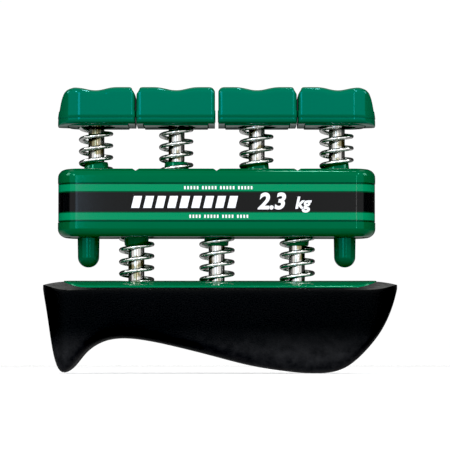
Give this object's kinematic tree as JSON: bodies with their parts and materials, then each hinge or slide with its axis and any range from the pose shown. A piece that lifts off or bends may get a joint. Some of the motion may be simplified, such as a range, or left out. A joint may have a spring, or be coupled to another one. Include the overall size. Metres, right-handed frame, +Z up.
{
  "type": "finger exerciser",
  "caption": "Spring hand exerciser: sprung finger buttons on rods over a banded housing, which slides down sprung rods onto a moulded black palm grip.",
  "frame": {"origin": "under the middle of the palm grip, on the surface that the exerciser stands on", "axes": "+X along the row of fingers from the hooked end of the grip to the round heel, +Y from front to back, +Z up towards the finger buttons"},
  "size_m": [0.1014, 0.027, 0.0814],
  "materials": {
    "green_plastic": "glossy moulded plastic",
    "dark_green_plastic": "glossy moulded plastic, in shade",
    "label_film": "printed film, light green and black bands",
    "black_rubber": "soft matte moulding, fine grain",
    "chrome_spring": "bright plated wire",
    "chrome_rod": "bright ground rod",
    "clip_steel": "stamped spring steel"
  },
  "bodies": {
    "palm_base": {"palm_grip": "black_rubber", "palm_insert": "green_plastic", "lower_rod_1": "chrome_rod", "lower_rod_2": "chrome_rod", "lower_rod_3": "chrome_rod", "lower_rod_clip_1": "clip_steel", "lower_rod_clip_2": "clip_steel", "lower_rod_clip_3": "clip_steel", "lower_spring_1": "chrome_spring", "lower_spring_2": "chrome_spring", "lower_spring_3": "chrome_spring"},
    "housing": {"housing_shell": "green_plastic", "housing_floor": "green_plastic", "label_band": "label_film", "stop_peg_left": "dark_green_plastic", "stop_peg_right": "dark_green_plastic", "upper_spring_1": "chrome_spring", "upper_spring_2": "chrome_spring", "upper_spring_3": "chrome_spring", "upper_spring_4": "chrome_spring"},
    "button_1": {"button_cap_1": "green_plastic", "button_plate_1": "dark_green_plastic", "upper_rod_1": "chrome_rod", "upper_rod_clip_1": "clip_steel"},
    "button_2": {"button_cap_2": "green_plastic", "button_plate_2": "dark_green_plastic", "upper_rod_2": "chrome_rod", "upper_rod_clip_2": "clip_steel"},
    "button_3": {"button_cap_3": "green_plastic", "button_plate_3": "dark_green_plastic", "upper_rod_3": "chrome_rod", "upper_rod_clip_3": "clip_steel"},
    "button_4": {"button_cap_4": "green_plastic", "button_plate_4": "dark_green_plastic", "upper_rod_4": "chrome_rod", "upper_rod_clip_4": "clip_steel"}
  },
  "joints": [
    {"name": "housing_slide", "type": "slide", "parent": "palm_base", "child": "housing", "axis": [0, 0, -1], "range_m": [0, 0.0036], "stiffness_N_per_m": 7125, "springref_m": -0.002, "deforming": ["lower_spring_1", "lower_spring_2", "lower_spring_3"]},
    {"name": "button_1_slide", "type": "slide", "parent": "housing", "child": "button_1", "axis": [0, 0, -1], "range_m": [0, 0.0075], "stiffness_N_per_m": 2375, "springref_m": -0.002, "deforming": ["upper_spring_1"]},
    {"name": "button_2_slide", "type": "slide", "parent": "housing", "child": "button_2", "axis": [0, 0, -1], "range_m": [0, 0.0075], "stiffness_N_per_m": 2375, "springref_m": -0.002, "deforming": ["upper_spring_2"]},
    {"name": "button_3_slide", "type": "slide", "parent": "housing", "child": "button_3", "axis": [0, 0, -1], "range_m": [0, 0.0075], "stiffness_N_per_m": 2375, "springref_m": -0.002, "deforming": ["upper_spring_3"]},
    {"name": "button_4_slide", "type": "slide", "parent": "housing", "child": "button_4", "axis": [0, 0, -1], "range_m": [0, 0.0075], "stiffness_N_per_m": 2375, "springref_m": -0.002, "deforming": ["upper_spring_4"]}
  ]
}
